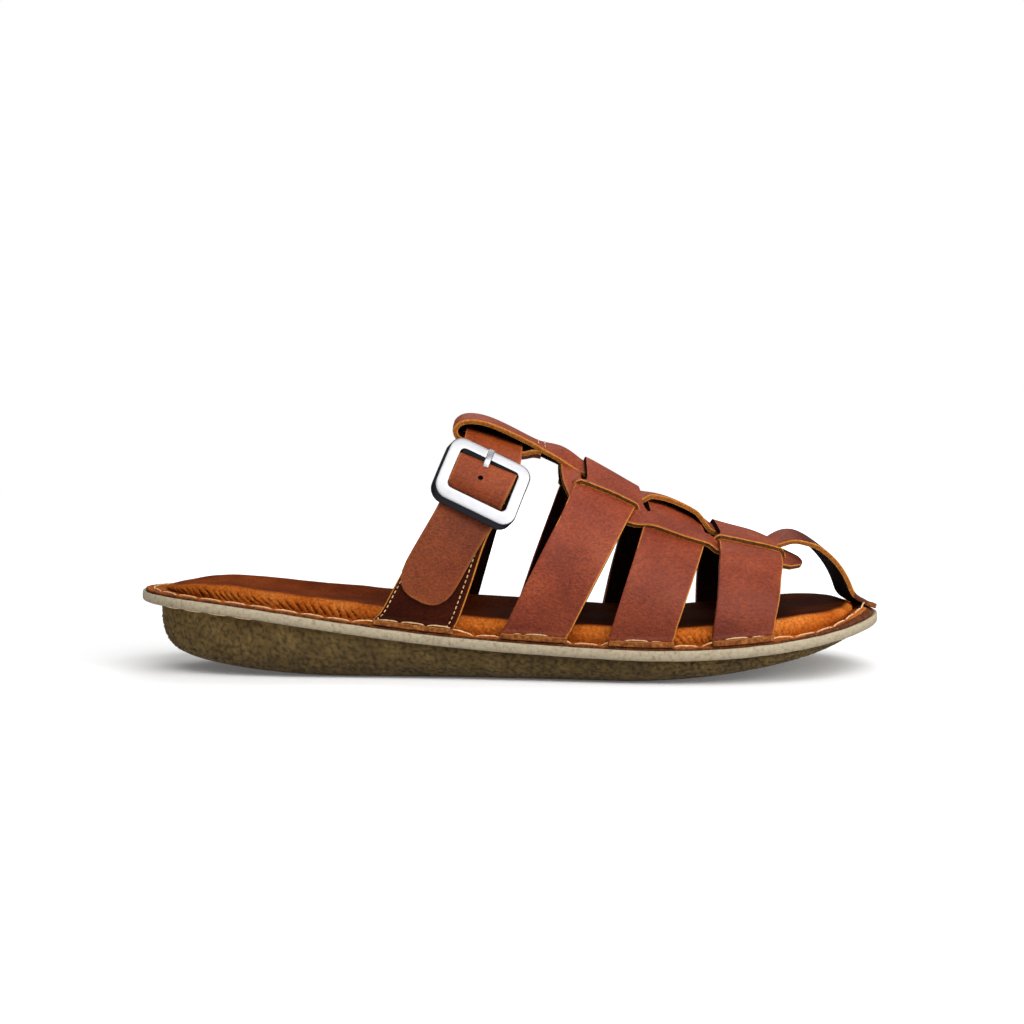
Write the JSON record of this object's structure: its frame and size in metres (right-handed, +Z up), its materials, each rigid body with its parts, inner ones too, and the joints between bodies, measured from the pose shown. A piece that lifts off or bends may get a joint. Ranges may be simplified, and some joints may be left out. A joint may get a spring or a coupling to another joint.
{
  "type": "leather slide sandal",
  "caption": "Backless right-foot leather slide with a woven strap vamp, a buckled instep strap and a stitched-down cupped rubber sole.",
  "frame": {"origin": "on the floor, under the middle of the sole's box", "axes": "+X to the toe, +Y to the inner side of the foot, -Y to the buckle side, +Z up"},
  "size_m": [0.285, 0.1033, 0.0982],
  "materials": {
    "outsole_rubber": "pebbled crepe rubber, matt",
    "midsole_rubber": "pale foamed rubber, matt",
    "footbed_leather": "soft tan leather, creased",
    "strap_leather": "waxed reddish brown leather with tan cut edges",
    "buckle_steel": "polished, plain",
    "thread": "waxed cream sewing thread"
  },
  "bodies": {
    "root": {"outsole": "outsole_rubber", "midsole": "midsole_rubber", "footbed": "footbed_leather", "upper": "strap_leather", "instep_strap": "strap_leather", "quarter_strap": "strap_leather", "buckle_frame": "buckle_steel", "buckle_prong": "buckle_steel"}
  },
  "joints": []
}
